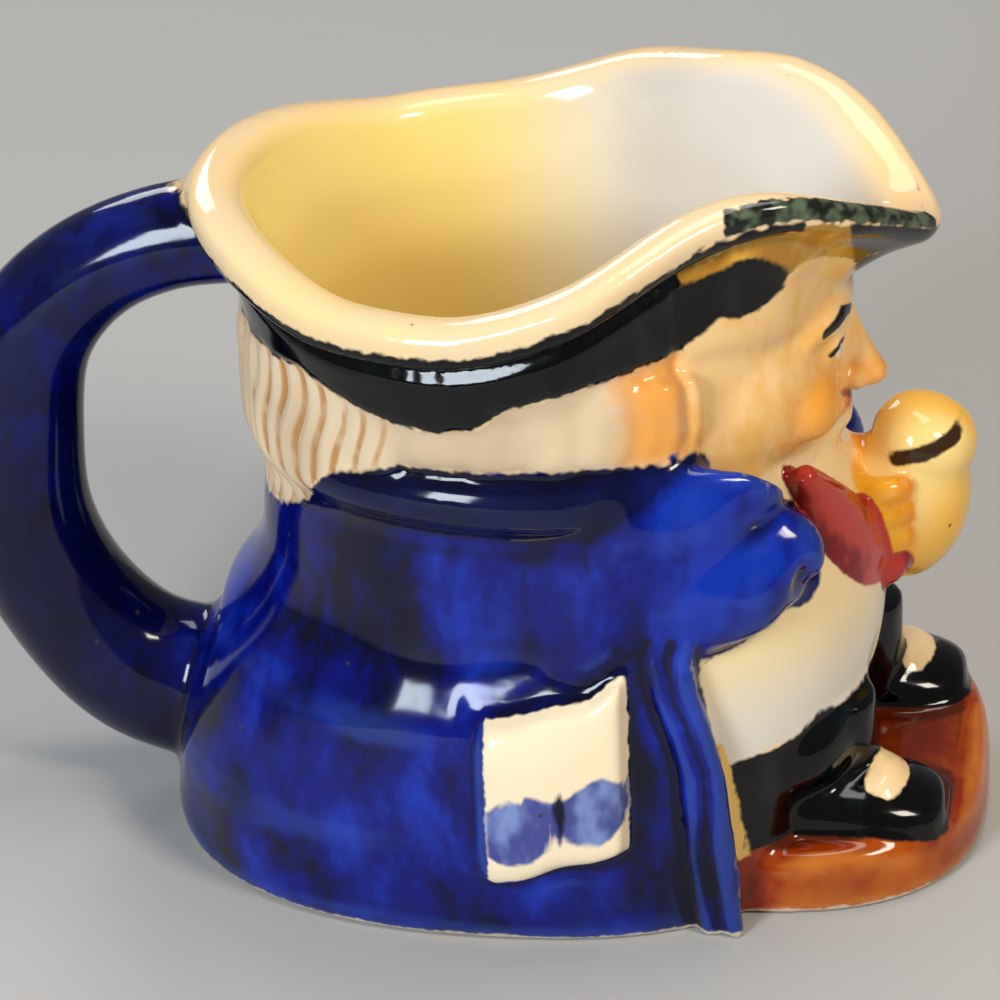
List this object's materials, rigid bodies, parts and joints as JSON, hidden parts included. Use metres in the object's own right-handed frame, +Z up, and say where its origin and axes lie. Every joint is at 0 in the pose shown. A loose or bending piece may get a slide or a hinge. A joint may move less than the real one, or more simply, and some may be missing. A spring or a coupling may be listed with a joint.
{
  "type": "toby jug",
  "caption": "Small glazed earthenware pouring jug in the shape of a seated man in a tricorn hat, whose brim is the pouring lip, with a strap handle behind",
  "frame": {"origin": "bottom centre of the bounding box, on the plane the jug stands on", "axes": "+Z is up; the man faces -Y and the handle is on +Y; his right hand is on -X"},
  "size_m": [0.0598, 0.102, 0.0728],
  "materials": {
    "glaze": "high-gloss clear glaze over hand-painted cobalt blue, black, cream, yellow, red and treacle brown"
  },
  "bodies": {
    "root": {"toby_jug": "glaze"}
  },
  "joints": []
}
